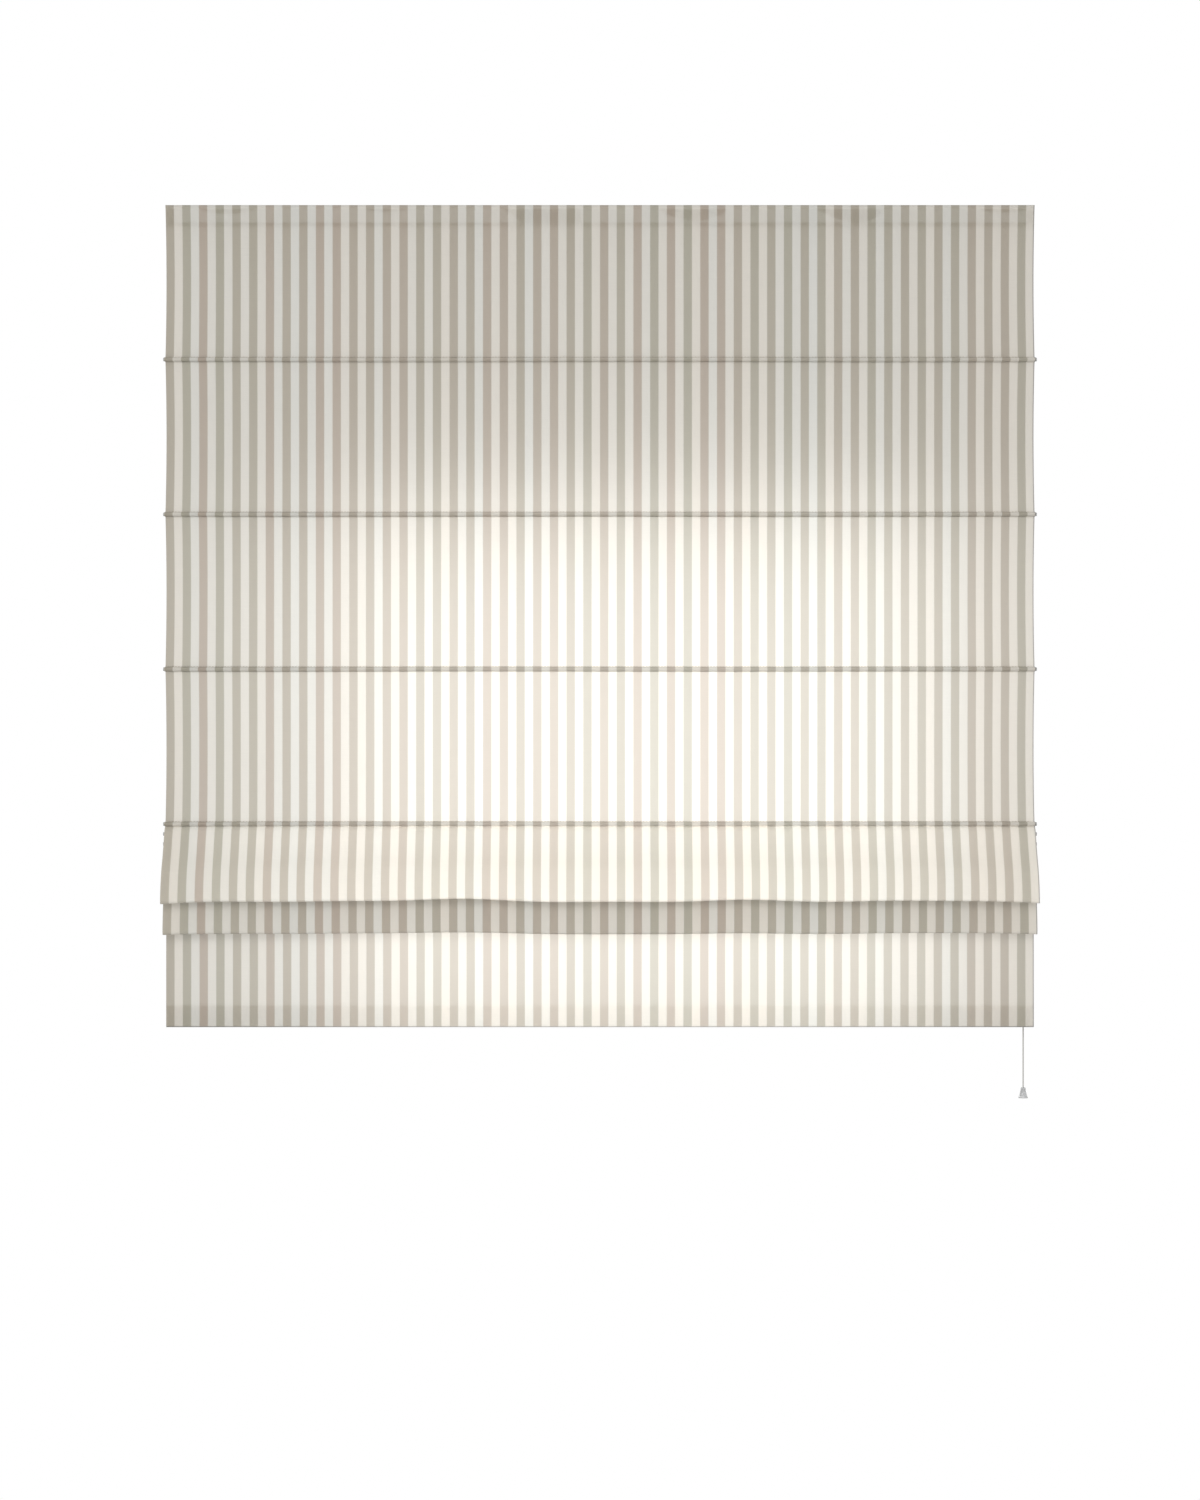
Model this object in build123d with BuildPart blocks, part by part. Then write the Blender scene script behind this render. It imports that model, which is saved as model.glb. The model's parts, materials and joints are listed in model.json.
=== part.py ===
"""Roman blind, 1.3 m wide, part raised, with its headrail, cords, rods and weight bar.

Frame: X runs along the blind, Y points from the room to the wall and Z points up. The wall is the
plane Y = 0 and the origin lies between the two screw holes of the centre bracket. Millimetres.
"""
import os
from math import cos, radians, sin

from build123d import *

# ---- cloth ---------------------------------------------------------------------------------
width = 1300.0  # cloth, side to side
cloth_t = 0.8
plane_y = -80.0  # middle of the flat cloth
top_z = 19.0  # upper edge of the cloth
bay = 231.4  # rod to rod where the cloth hangs flat
flat_bays = 4
gather = 15.0  # rod to rod where the rods are drawn together
fold_a_z = -1021.0  # lower edge of the front fold
fold_a_forward = 38.0
fold_b_z = -1070.0  # lower edge of the second fold
fold_b_forward = 16.0
hem_z = -1210.0  # lower edge of the cloth
hem_back = 8.0  # how far the last panel hangs behind the flat cloth

# ---- rods and rings ------------------------------------------------------------------------
rod_r = 2.0
rod_clear = 0.3  # round a rod in its tunnel
seam_dip = 0.2  # how far a tunnel's seam pulls the tunnel off the flat cloth
rod_overhang = 2.0  # rod end past the cloth's side
cap_wall = 0.7
cap_sleeve = 1.7
cord_xs = (-600.0, -215.0, 215.0, 600.0)  # the four cord lines
ring_y = -70.0  # rings and hanging cords
ring_r = 4.0
ring_wire_r = 0.8
tab_w = 3.0
foot_w = 5.0
foot_h = 3.2
foot_t = 0.8
sewn_clear = 0.2  # between a ring's foot and the cloth
bead_r = 3.6
bead_h = 8.0
bead_clear = 0.3

# ---- weight bar ----------------------------------------------------------------------------
bar_h = 20.0
bar_t = 2.5
bar_clear = 0.15
bar_end_gap = 6.0  # bar end to cloth side
bar_cap_t = 2.0
pocket_rise = 27.0  # height of the pocket at the hem
pocket_floor = 2.2  # hem edge to bar

# ---- headrail ------------------------------------------------------------------------------
tape_t = 1.2
tape_h = 20.0
tape_z = 3.0
tape_inset = 10.0  # tape end to rail end
rail_depth = 50.0
rail_h = 28.0
rail_wall = 1.4
rail_half = 647.5
nut_slot_y = -52.0
nut_slot_w = 12.4
nut_slot_h = 4.6
nut_mouth_w = 6.0
cord_slot_front = -46.0
cord_slot_back = -30.6
cap_t = 1.5
plug_t = 1.6
plug_l = 5.0
plug_clear = 0.2
plug_back_y = -52.0

# ---- brackets and their bolts --------------------------------------------------------------
bracket_xs = (-520.0, 0.0, 520.0)
bracket_w = 36.0
bracket_t = 2.0
bracket_foot_z = -24.0
bracket_bend_r = 4.0
arm_reach = 66.0
gusset_reach = 22.0
gusset_foot_z = -18.0
wall_hole_r = 2.75
wall_hole_pitch = 20.0
arm_slot_l = 10.0
arm_slot_w = 5.6
bolt_r = 2.4
bolt_head_r = 4.75
bolt_head_h = 2.4
bolt_l = 7.6
nut_side = 11.0
nut_t = 3.2
nut_clear = 0.05

# ---- cords ---------------------------------------------------------------------------------
cord_r = 0.6
lane_y = -38.0  # middle of the four cords inside the rail
lane_pitch = 1.6
roller_r = 4.0
roller_z = -3.0
roller_l = 7.2
cord_gap = 0.1  # cord to roller
slant_foot_z = -24.0  # where a cord starts to lean forward to its first ring
slant_r = 40.0
tail_x = 639.0
tail_top_z = -17.0
joiner_top_z = -530.0
joiner_l = 25.0
joiner_r = 4.5
joiner_tip_r = 2.6
draw_cord_r = 1.0
bell_top_z = -1305.6
bell_h = 15.7
bell_top_r = 3.95
bell_rim_r = 7.25
bell_wall = 1.2
bell_cord_clear = 0.3
knot_r = 2.5

# ---- cord guides and cord lock -------------------------------------------------------------
pin_r = 1.25
pin_clear = 0.05
pin_seat = 0.02
cheek_in = 3.8  # half the room between the cheeks
cheek_t = 1.8
cheek_top_z = 1.5
base_t = 2.0
base_front = -49.0
base_back = -29.0
base_l = 26.0
neck_l = 14.0
neck_clear = 0.2
neck_foot_z = -17.0
cord_mouth_l = 3.6
cord_mouth_w = 8.0
lock_x0 = 617.0
lock_x1 = 646.5
lock_neck_x0 = 623.0
lock_top_z = 5.5
lock_wall = 1.5
jaw_r = 1.9
jaw_pin_r = 1.2
jaw_clear = 0.15
jaw_gap = 0.15
jaw_drop = 1.0
jaw_travel = 3.5
jaw_lean = 17.0  # degrees from upright
jaw_flutes = 12
flute_r = 0.22

# ---- worked out from the sizes above -------------------------------------------------------
half = width / 2
rod_zs = [top_z - bay * (n + 1) for n in range(flat_bays)]
rod_zs += [rod_zs[-1] - gather, rod_zs[-1] - 2 * gather]
tunnel_in = rod_r + rod_clear
tunnel_out = tunnel_in + cloth_t
rod_y = plane_y - cloth_t / 2 - tunnel_in - seam_dip
cloth_back = plane_y + cloth_t / 2
rail_front = cloth_back + 2 * tape_t
rail_back = rail_front + rail_depth
rail_mid = (rail_front + rail_back) / 2
rail_floor_z = -rail_h / 2 + rail_wall
lanes = [lane_y + (n - 1.5) * lane_pitch for n in range(len(cord_xs))]
turn_r = roller_r + cord_gap + cord_r
run_z = roller_z + turn_r
lock_roller_x = tail_x - turn_r
pin_l = 2 * (cheek_in + cheek_t) + 0.4
jaw_x = tail_x + cord_r + jaw_gap + jaw_r
jaw_z = roller_z - jaw_drop

os.makedirs("parts", exist_ok=True)


def save(part, name):
    part.label = name
    export_step(part, f"parts/{name}.step")


def box_between(x0, x1, y0, y1, z0, z1, mode=Mode.ADD):
    """A block given by its six faces."""
    with Locations(((x0 + x1) / 2, (y0 + y1) / 2, (z0 + z1) / 2)):
        Box(x1 - x0, y1 - y0, z1 - z0, mode=mode)


def rectangle_between(y0, y1, z0, z1, mode=Mode.ADD):
    """A rectangle in the YZ plane given by its four sides."""
    with Locations(((y0 + y1) / 2, (z0 + z1) / 2)):
        Rectangle(y1 - y0, z1 - z0, mode=mode)


# ---- the cloth -----------------------------------------------------------------------------
def turnover(z):
    """The cloth comes up in front of a gathered rod, turns over it and goes down behind it."""
    front = -(tunnel_in + tunnel_out + cloth_t + seam_dip + 0.6)
    crown = z + tunnel_out + 0.9
    return [(front, z - 4.0), (front, crown), (0.0, crown), (0.0, z - 5.0)]


z4, z5, z6 = rod_zs[3], rod_zs[4], rod_zs[5]
lip_a = fold_a_z + cloth_t / 2
lip_b = fold_b_z + cloth_t / 2
hem = hem_z + cloth_t / 2
pocket = cloth_t + bar_t + 2 * bar_clear
seam_y = cloth_t + 0.3  # between the middles of two layers sewn together

centre_line = [(0.0, top_z), (0.0, z4 - 5.0)]
centre_line += [(-11.0, z4 - 9.0), (-15.5, z4 - 30.0)]
centre_line += [(-fold_a_forward, z4 - 76.0), (-fold_a_forward, lip_a), (-11.2, z5 - 10.0)]
centre_line += turnover(z5)
centre_line += [(-8.6, z5 - 9.0), (-9.6, z6 - 10.0)]
centre_line += [(-fold_b_forward, lip_b + 60.0), (-fold_b_forward, lip_b)]
centre_line += turnover(z6)
centre_line += [(hem_back, z6 - 60.0), (hem_back, hem)]
centre_line += [(hem_back + pocket, hem), (hem_back + pocket, hem + pocket_rise - 4.0)]
centre_line += [(hem_back + seam_y, hem + pocket_rise), (hem_back + seam_y, hem + pocket_rise + 4.0)]

soft, crease, over = 3.0, 0.9, 3.2  # bend radii: easy bend, pressed fold, over a rod
bends = [soft, soft, soft * 4, soft * 4, crease, soft]
bends += [soft, over, over, soft]
bends += [soft, soft * 4, soft * 4, crease]
bends += [soft, over, over, soft * 4]
bends += [soft * 4, pocket * 0.4, pocket * 0.4, 1.2, 1.2]


def beside(gap):
    """The cloth's centre line moved sideways by gap, with its bends kept concentric."""
    points = [Vector(plane_y + y, z) for y, z in centre_line]
    normals = [(b - a).normalized().rotate(Axis.Z, 90) for a, b in zip(points, points[1:])]
    moved = [points[0] + normals[0] * gap]
    radii = []
    for point, before, after, bend in zip(points[1:], normals, normals[1:], bends):
        moved.append(point + (before + after) * (gap / (1 + before.dot(after))))
        radii.append(bend - gap if before.cross(after).Z > 0 else bend + gap)
    moved.append(points[-1] + normals[-1] * gap)
    return FilletPolyline(*moved, radius=radii)


with BuildPart() as cloth:
    with BuildSketch(Plane.YZ.offset(-half)):
        with BuildLine():
            front_side = beside(cloth_t / 2)
            back_side = beside(-cloth_t / 2)
            Line(front_side @ 0, back_side @ 0)
            Line(front_side @ 1, back_side @ 1)
        make_face()
        rectangle_between(plane_y + hem_back, plane_y + hem_back + seam_y, hem + pocket_rise + 1.5,
                          hem + pocket_rise + 3.0)
        with Locations(*[(rod_y, z) for z in rod_zs]):
            Circle(tunnel_out)
            Circle(tunnel_in, mode=Mode.SUBTRACT)
    extrude(amount=width)
save(cloth.part, "fabric")
with BuildLine(mode=Mode.PRIVATE) as middle:
    beside(0.0)
print(f"cloth along its line: {sum(edge.length for edge in middle.edges()):.1f} mm")


# ---- rods, rod caps and rings --------------------------------------------------------------
rod_end = half + rod_overhang
cap_start = half + 0.3


def rod(z):
    with BuildPart() as piece:
        with BuildSketch(Plane.YZ.offset(-rod_end)):
            with Locations((rod_y, z)):
                Circle(rod_r)
        extrude(amount=2 * rod_end)
    return piece.part


def rod_caps(z):
    """Two plastic cups pressed over the rod's ends, just outside the cloth."""
    with BuildPart() as pair:
        with BuildSketch(Plane.YZ.offset(cap_start)):
            with Locations((rod_y, z)):
                Circle(rod_r + cap_wall)
                Circle(rod_r, mode=Mode.SUBTRACT)
        extrude(amount=cap_sleeve)
        with BuildSketch(Plane.YZ.offset(rod_end)):
            with Locations((rod_y, z)):
                Circle(rod_r + cap_wall)
        extrude(amount=cap_wall)
        chamfer(pair.faces().sort_by(Axis.X)[-1].edges(), cap_wall * 0.4)
        mirror(about=Plane.YZ)
    return pair.part


def ring_row(z):
    """Four sewn rings, each with a tab and a foot that lies on the back of the cloth."""
    foot_y = cloth_back + sewn_clear
    tab_end = ring_y - ring_r
    with BuildPart() as row:
        with Locations(*[(x, ring_y, z) for x in cord_xs]):
            Torus(ring_r, ring_wire_r)
        for x in cord_xs:
            box_between(x - tab_w / 2, x + tab_w / 2, foot_y, tab_end,
                        z - ring_wire_r * 0.7, z + ring_wire_r * 0.7)
            box_between(x - foot_w / 2, x + foot_w / 2, foot_y, foot_y + foot_t,
                        z - foot_h / 2, z + foot_h / 2)
    return row.part


for number, z in enumerate(rod_zs, start=1):
    save(rod(z), f"rod_{number}")
    save(rod_caps(z), f"rod_caps_{number}")
    save(ring_row(z), f"rings_{number}")

bead_top = z6 - ring_wire_r - bead_clear
with BuildPart() as beads:
    for x in cord_xs:
        with BuildSketch(Plane.XY.offset(bead_top)):
            with Locations((x, ring_y)):
                Circle(bead_r)
                Circle(cord_r + 0.2, mode=Mode.SUBTRACT)
        extrude(amount=-bead_h)
    fillet(beads.edges().filter_by(GeomType.CIRCLE).group_by(SortBy.RADIUS)[-1], bead_r * 0.4)
save(beads.part, "cord_beads")

# ---- weight bar ----------------------------------------------------------------------------
bar_y = plane_y + hem_back + cloth_t / 2 + bar_clear
bar_z = hem + pocket_floor
bar_half = half - bar_end_gap
with BuildPart() as bar:
    box_between(-bar_half, bar_half, bar_y, bar_y + bar_t, bar_z, bar_z + bar_h)
    fillet(bar.edges().filter_by(Axis.X), 0.5)
save(bar.part, "weight_bar")

with BuildPart() as bar_caps:
    box_between(bar_half, bar_half + bar_cap_t, bar_y, bar_y + bar_t, bar_z, bar_z + bar_h)
    fillet(bar_caps.edges().filter_by(Axis.Y), 0.9)
    mirror(about=Plane.YZ)
save(bar_caps.part, "weight_bar_caps")

# ---- headrail, end caps and tapes ----------------------------------------------------------
slot_top = rail_h / 2 - rail_wall
slot_foot = slot_top - nut_slot_h
with BuildPart() as rail:
    with BuildSketch(Plane.YZ.offset(-rail_half)):
        rectangle_between(rail_front, rail_back, -rail_h / 2, rail_h / 2)
        rectangle_between(rail_front + rail_wall, rail_back - rail_wall, rail_floor_z, slot_top,
                          mode=Mode.SUBTRACT)
        rectangle_between(nut_slot_y - nut_slot_w / 2 - rail_wall, nut_slot_y + nut_slot_w / 2 + rail_wall,
                          slot_foot - rail_wall, slot_top)
        rectangle_between(nut_slot_y - nut_slot_w / 2, nut_slot_y + nut_slot_w / 2, slot_foot, slot_top,
                          mode=Mode.SUBTRACT)
        rectangle_between(nut_slot_y - nut_mouth_w / 2, nut_slot_y + nut_mouth_w / 2, slot_top, rail_h / 2,
                          mode=Mode.SUBTRACT)
        rectangle_between(cord_slot_front, cord_slot_back, -rail_h / 2, rail_floor_z, mode=Mode.SUBTRACT)
    extrude(amount=2 * rail_half)
save(rail.part, "headrail")


def end_cap(side):
    """A flat plate on the rail's end, with a short plug that grips the rail's front chamber."""
    plug_front = rail_front + rail_wall + plug_clear
    plug_top = slot_foot - rail_wall - plug_clear
    plug_foot = rail_floor_z + plug_clear
    with BuildPart() as cap:
        box_between(rail_half, rail_half + cap_t, rail_front, rail_back, -rail_h / 2, rail_h / 2)
        fillet(cap.edges().filter_by(Axis.X), 2.0)
        chamfer(cap.faces().sort_by(Axis.X)[-1].edges(), 0.4)
        box_between(rail_half - plug_l, rail_half, plug_front, plug_back_y, plug_foot, plug_top)
        box_between(rail_half - plug_l, rail_half, plug_front + plug_t, plug_back_y - plug_t,
                    plug_foot + plug_t, plug_top - plug_t, mode=Mode.SUBTRACT)
        if side < 0:
            mirror(about=Plane.YZ)
            box_between(0, rail_half + 2 * cap_t, rail_front, rail_back, -rail_h, rail_h,
                        mode=Mode.SUBTRACT)
    return cap.part


save(end_cap(-1), "end_cap_left")
save(end_cap(1), "end_cap_right")

tape_half = rail_half - tape_inset
with BuildPart() as hook_tape:
    box_between(-tape_half, tape_half, rail_front - tape_t, rail_front, tape_z - tape_h / 2, tape_z + tape_h / 2)
save(hook_tape.part, "hook_tape")
with BuildPart() as loop_tape:
    box_between(-tape_half, tape_half, cloth_back, cloth_back + tape_t, tape_z - tape_h / 2, tape_z + tape_h / 2)
save(loop_tape.part, "loop_tape")

# ---- brackets, bolts and nuts --------------------------------------------------------------
arm_z = rail_h / 2


def bracket(x):
    """A bent steel angle: a foot on the wall, an arm over the rail and a gusset between them."""
    with BuildPart() as piece:
        with BuildSketch(Plane.YZ.offset(x - bracket_w / 2)):
            with BuildLine(mode=Mode.PRIVATE) as bend:
                FilletPolyline((-bracket_t / 2, bracket_foot_z), (-bracket_t / 2, arm_z + bracket_t / 2),
                               (-arm_reach, arm_z + bracket_t / 2), radius=bracket_bend_r)
            trace(bend.line, line_width=bracket_t)
        extrude(amount=bracket_w)
        with BuildSketch(Plane.YZ.offset(x - bracket_t / 2)):
            with BuildLine():
                Polyline((-bracket_t, gusset_foot_z), (-bracket_t, arm_z), (-gusset_reach, arm_z), close=True)
            make_face()
        extrude(amount=bracket_t)
        with BuildSketch(Plane.XZ.offset(-1)):
            with Locations((x - wall_hole_pitch / 2, 0), (x + wall_hole_pitch / 2, 0)):
                Circle(wall_hole_r)
        extrude(amount=bracket_t + 2, mode=Mode.SUBTRACT)
        with BuildSketch(Plane.XY.offset(arm_z - 1)):
            with Locations((x, nut_slot_y)):
                SlotOverall(arm_slot_l, arm_slot_w, rotation=90)
        extrude(amount=bracket_t + 2, mode=Mode.SUBTRACT)
    return piece.part


for name, x in zip(("left", "centre", "right"), bracket_xs):
    save(bracket(x), f"bracket_{name}")

bolt_seat = arm_z + bracket_t
with BuildPart() as bolts:
    for x in bracket_xs:
        with BuildSketch(Plane.XY.offset(bolt_seat)):
            with Locations((x, nut_slot_y)):
                Circle(bolt_head_r)
        extrude(amount=bolt_head_h)
        with BuildSketch(Plane.XY.offset(bolt_seat - bolt_l)):
            with Locations((x, nut_slot_y)):
                Circle(bolt_r)
        extrude(amount=bolt_l)
        with BuildSketch(Plane.XY.offset(bolt_seat + bolt_head_h)):
            with Locations((x, nut_slot_y)):
                RegularPolygon(1.8, 6)
        extrude(amount=-1.4, mode=Mode.SUBTRACT)
save(bolts.part, "bracket_bolts")

with BuildPart() as nuts:
    for x in bracket_xs:
        box_between(x - nut_side / 2, x + nut_side / 2, nut_slot_y - nut_side / 2, nut_slot_y + nut_side / 2,
                    slot_top - nut_t, slot_top)
        with Locations((x, nut_slot_y, slot_top - nut_t / 2)):
            Cylinder(bolt_r + nut_clear, 2 * nut_t, mode=Mode.SUBTRACT)
save(nuts.part, "bracket_nuts")


# ---- cord guides: carrier, roller and pin --------------------------------------------------
def cheek_faces():
    """The Y ranges of the two cheeks that hold a roller."""
    return ((lane_y - cheek_in - cheek_t, lane_y - cheek_in), (lane_y + cheek_in, lane_y + cheek_in + cheek_t))


def roller(x):
    with BuildPart() as wheel:
        with BuildSketch(Plane.XZ.offset(-lane_y - roller_l / 2)):
            with Locations((x, roller_z)):
                Circle(roller_r)
                Circle(pin_r + pin_clear, mode=Mode.SUBTRACT)
        extrude(amount=roller_l)
    return wheel.part


def pin(x):
    with BuildPart() as axle:
        with BuildSketch(Plane.XZ.offset(-lane_y - pin_l / 2)):
            with Locations((x, roller_z)):
                Circle(pin_r)
        extrude(amount=pin_l)
        chamfer(axle.edges().filter_by(GeomType.CIRCLE), 0.2)
    return axle.part


def cord_guide(x):
    """A carrier clipped in the rail's floor slot; the cord comes up through it to the roller."""
    roller_x = x + turn_r
    middle = x + neck_l / 2 - 3.0
    with BuildPart() as guide:
        box_between(middle - base_l / 2, middle + base_l / 2, base_front, base_back,
                    rail_floor_z, rail_floor_z + base_t)
        box_between(middle - neck_l / 2, middle + neck_l / 2, cord_slot_front + neck_clear,
                    cord_slot_back - neck_clear, neck_foot_z, rail_floor_z)
        for y0, y1 in cheek_faces():
            box_between(x - 2.5, roller_x + roller_r + 2.0, y0, y1, rail_floor_z + base_t, cheek_top_z)
        box_between(x - cord_mouth_l / 2, x + cord_mouth_l / 2, lane_y - cord_mouth_w / 2,
                    lane_y + cord_mouth_w / 2, neck_foot_z, rail_floor_z + base_t, mode=Mode.SUBTRACT)
        with BuildSketch(Plane.XZ.offset(-lane_y - pin_l)):
            with Locations((roller_x, roller_z)):
                Circle(pin_r + pin_seat)
        extrude(amount=2 * pin_l, mode=Mode.SUBTRACT)
        fillet(guide.edges().filter_by(Axis.Z).group_by(Axis.Z)[0], 0.6)
    return guide.part


for number, x in enumerate(cord_xs, start=1):
    save(cord_guide(x), f"cord_guide_{number}")
    save(roller(x + turn_r), f"guide_roller_{number}")

with BuildPart() as guide_pins:
    for x in cord_xs:
        add(pin(x + turn_r))
save(guide_pins.part, "guide_pins")

# ---- cord lock: housing, roller, pin and fluted jaw ----------------------------------------
jaw_dx = jaw_travel * sin(radians(jaw_lean))
jaw_dz = jaw_travel * cos(radians(jaw_lean))
with BuildPart() as housing:
    box_between(lock_x0, lock_x1, base_front, base_back, rail_floor_z, rail_floor_z + base_t)
    box_between(lock_neck_x0, lock_x1, cord_slot_front + neck_clear, cord_slot_back - neck_clear,
                neck_foot_z, rail_floor_z)
    for y0, y1 in cheek_faces():
        box_between(lock_neck_x0, lock_x1, y0, y1, rail_floor_z + base_t, lock_top_z)
    box_between(lock_x1 - lock_wall, lock_x1, lane_y - cheek_in, lane_y + cheek_in,
                rail_floor_z + base_t, lock_top_z)
    box_between(tail_x - cord_mouth_l / 2, tail_x + cord_mouth_l / 2, lane_y - cord_mouth_w / 2,
                lane_y + cord_mouth_w / 2, neck_foot_z, rail_floor_z + base_t, mode=Mode.SUBTRACT)
    with BuildSketch(Plane.XZ.offset(-lane_y - pin_l)):
        with Locations((lock_roller_x, roller_z)):
            Circle(pin_r + pin_seat)
        with Locations((jaw_x + jaw_dx / 2, jaw_z + jaw_dz / 2)):
            SlotOverall(jaw_travel + 2 * (jaw_pin_r + jaw_clear), 2 * (jaw_pin_r + jaw_clear),
                        rotation=90 - jaw_lean)
    extrude(amount=2 * pin_l, mode=Mode.SUBTRACT)
save(housing.part, "cord_lock")
save(roller(lock_roller_x), "lock_roller")
save(pin(lock_roller_x), "lock_pin")

with BuildPart() as jaw:
    with BuildSketch(Plane.XZ.offset(-lane_y - roller_l / 2)):
        with Locations((jaw_x, jaw_z)):
            Circle(jaw_r)
            with PolarLocations(jaw_r, jaw_flutes):
                Circle(flute_r, mode=Mode.SUBTRACT)
    extrude(amount=roller_l)
    with BuildSketch(Plane.XZ.offset(-lane_y - pin_l / 2)):
        with Locations((jaw_x, jaw_z)):
            Circle(jaw_pin_r)
    extrude(amount=pin_l)
save(jaw.part, "lock_jaw")


# ---- cords ---------------------------------------------------------------------------------
def tube(points, radius, radii=None):
    """A round cord along straight runs joined by tangent arcs."""
    with BuildPart() as cord:
        with BuildLine() as path:
            if radii:
                FilletPolyline(*points, radius=radii)
            else:
                Line(*points)
        with BuildSketch(Plane(path.line @ 0, z_dir=path.line % 0)):
            Circle(radius)
        sweep()
    return cord.part, path.wire().length


bead_foot = bead_top - bead_h
for number, (x, lane) in enumerate(zip(cord_xs, lanes), start=1):
    route = [
        (x, ring_y, bead_foot),
        (x, ring_y, rod_zs[0]),
        (x, lane, slant_foot_z),
        (x, lane, run_z),
        (tail_x, lane, run_z),
        (tail_x, lane, tail_top_z),
    ]
    radii = [slant_r, slant_r, turn_r, turn_r]
    cord, length = tube(route, cord_r, radii)
    save(cord, f"lift_cord_{number}")
    print(f"lift cord {number}: {length:.0f} mm long, arcs {radii}, volume {cord.volume:.0f}")
    tail, length = tube([(tail_x, lane, tail_top_z), (tail_x, lane, joiner_top_z)], cord_r)
    save(tail, f"cord_tail_{number}")
    print(f"cord tail {number}: {length:.0f} mm")

joiner_foot = joiner_top_z - joiner_l
with BuildPart() as joiner:
    with BuildSketch(Plane.XZ.offset(-lane_y)):
        with BuildLine():
            Polyline((tail_x, joiner_top_z), (tail_x + joiner_r, joiner_top_z),
                     (tail_x + joiner_r, joiner_top_z - joiner_l * 0.4), (tail_x + joiner_tip_r, joiner_foot),
                     (tail_x, joiner_foot), close=True)
        make_face()
    revolve(axis=Axis((tail_x, lane_y, 0), (0, 0, 1)))
    fillet(joiner.edges().group_by(Axis.Z)[-1], 0.8)
save(joiner.part, "cord_joiner")

knot_z = bell_top_z - bell_wall - knot_r - 0.3
draw, length = tube([(tail_x, lane_y, joiner_foot), (tail_x, lane_y, knot_z + knot_r)], draw_cord_r)
save(draw, "draw_cord")
print(f"draw cord: {length:.0f} mm")

bell_foot = bell_top_z - bell_h
cord_hole = draw_cord_r + bell_cord_clear
with BuildPart() as bell:
    with BuildSketch(Plane.XZ.offset(-lane_y)):
        with BuildLine():
            shoulder = (tail_x + bell_top_r, bell_top_z - 3.0)
            rim = (tail_x + bell_rim_r, bell_foot)
            inner_rim = (tail_x + bell_rim_r - bell_wall, bell_foot)
            inner_shoulder = (tail_x + bell_top_r - bell_wall * 0.8, bell_top_z - 3.4)
            Polyline((tail_x + cord_hole, bell_top_z), (tail_x + bell_top_r - 0.8, bell_top_z), shoulder)
            Spline(shoulder, rim, tangents=((0.1, -1), (0.55, -1)))
            Line(rim, inner_rim)
            Spline(inner_rim, inner_shoulder, tangents=((-0.55, 1), (-0.1, 1)))
            Polyline(inner_shoulder, (tail_x + bell_top_r - bell_wall, bell_top_z - bell_wall),
                     (tail_x + cord_hole, bell_top_z - bell_wall), (tail_x + cord_hole, bell_top_z))
        make_face()
    revolve(axis=Axis((tail_x, lane_y, 0), (0, 0, 1)))
save(bell.part, "cord_pull")

with BuildPart() as knot:
    with Locations((tail_x, lane_y, knot_z)):
        Sphere(knot_r)
    box_between(tail_x - knot_r, tail_x + knot_r, lane_y - knot_r, lane_y + knot_r,
                knot_z + knot_r * 0.8, knot_z + knot_r, mode=Mode.SUBTRACT)
    with Locations((tail_x, lane_y, knot_z + knot_r * 0.9)):
        Cylinder(draw_cord_r, knot_r * 0.2)
save(knot.part, "pull_knot")
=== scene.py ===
"""The looks of the roman blind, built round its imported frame. Metres, the frame's own axes."""
import json
import math

import bpy
import numpy as np
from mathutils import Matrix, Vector


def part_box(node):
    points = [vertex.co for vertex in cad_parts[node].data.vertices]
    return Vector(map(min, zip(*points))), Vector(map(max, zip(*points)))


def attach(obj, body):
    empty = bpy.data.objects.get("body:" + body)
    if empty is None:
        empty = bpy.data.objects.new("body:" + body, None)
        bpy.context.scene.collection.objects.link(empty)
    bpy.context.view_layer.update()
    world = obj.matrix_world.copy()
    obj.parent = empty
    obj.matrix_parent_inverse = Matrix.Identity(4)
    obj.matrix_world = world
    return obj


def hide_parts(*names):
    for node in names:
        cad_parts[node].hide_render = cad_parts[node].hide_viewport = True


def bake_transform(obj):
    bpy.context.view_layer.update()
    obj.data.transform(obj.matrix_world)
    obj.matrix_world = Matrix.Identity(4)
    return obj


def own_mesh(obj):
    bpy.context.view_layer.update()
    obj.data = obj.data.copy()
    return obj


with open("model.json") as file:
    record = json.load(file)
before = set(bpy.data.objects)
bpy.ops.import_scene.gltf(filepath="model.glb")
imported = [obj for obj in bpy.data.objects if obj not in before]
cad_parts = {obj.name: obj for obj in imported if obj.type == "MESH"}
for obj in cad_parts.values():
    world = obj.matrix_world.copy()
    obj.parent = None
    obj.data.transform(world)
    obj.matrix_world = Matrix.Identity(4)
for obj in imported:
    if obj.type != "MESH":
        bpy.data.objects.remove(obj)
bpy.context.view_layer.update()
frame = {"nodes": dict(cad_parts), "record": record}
MM = 0.001

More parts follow.
